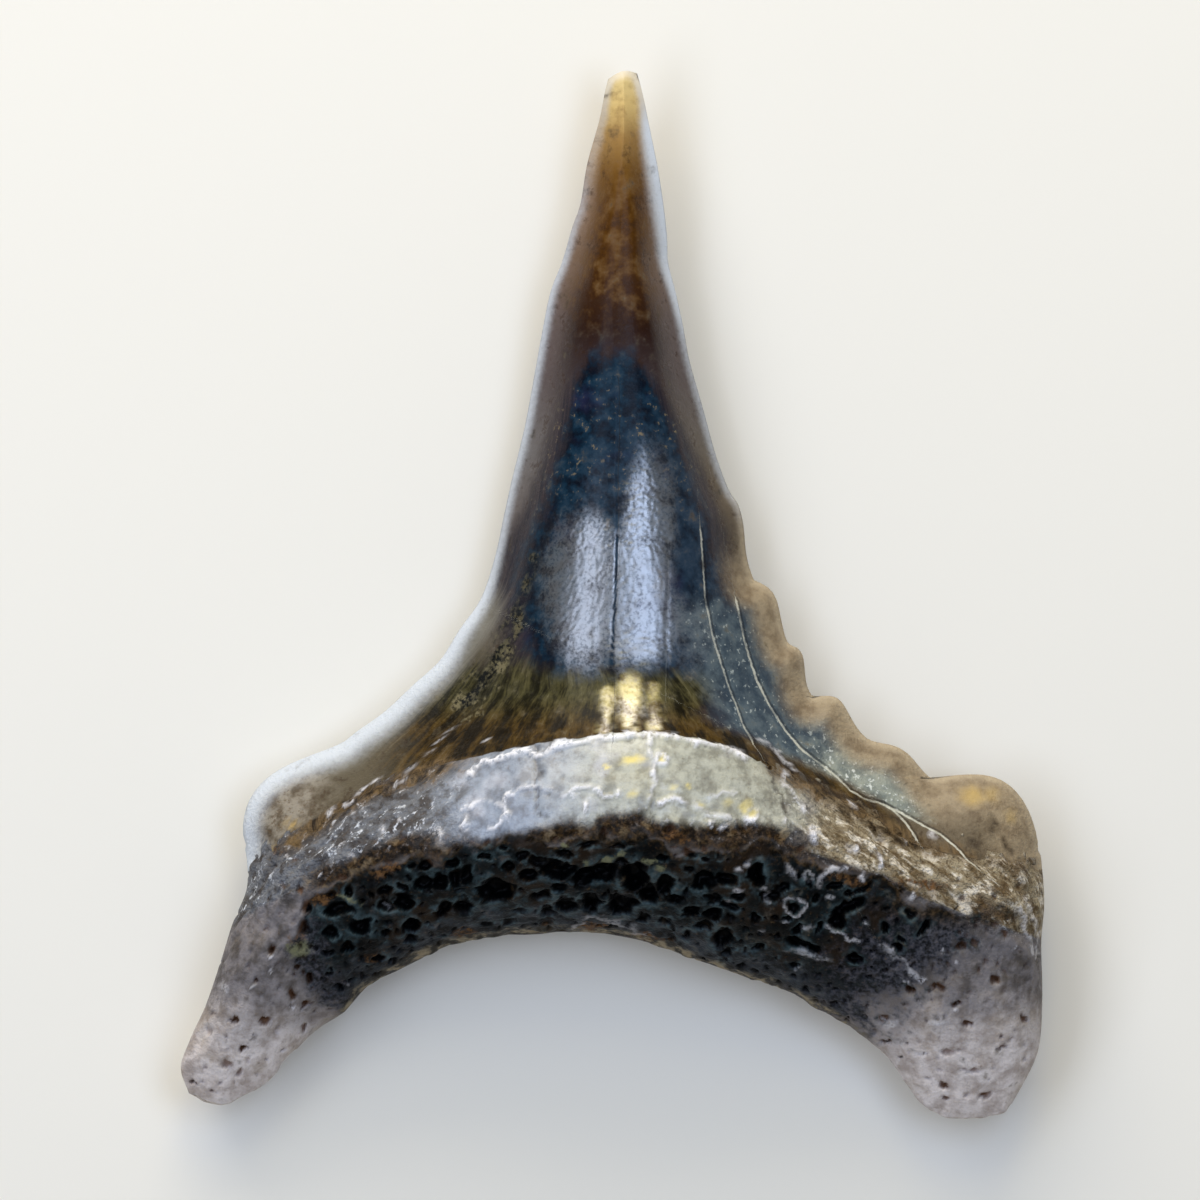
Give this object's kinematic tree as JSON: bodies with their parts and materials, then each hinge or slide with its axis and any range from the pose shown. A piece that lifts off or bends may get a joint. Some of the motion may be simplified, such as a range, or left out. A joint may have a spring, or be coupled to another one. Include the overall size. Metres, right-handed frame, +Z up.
{
  "type": "fossil shark tooth",
  "caption": "Small fossil shark tooth with a slender erect crown, a cusped heel and a porous root with a deep arch, lying on its flatter face.",
  "frame": {"origin": "under the middle of the tooth's box, on the surface that it lies on", "axes": "+X from the smooth side to the cusped side, +Y from the root lobes to the tip of the crown, +Z up out of the rounder face"},
  "size_m": [0.0124, 0.015, 0.0034],
  "materials": {
    "fossil_enamel": "glossy blue-black crown with brown flanks and pale translucent edges, matt dark porous root fading to grey-lavender lobes"
  },
  "bodies": {
    "root": {"shark_tooth": "fossil_enamel"}
  },
  "joints": []
}
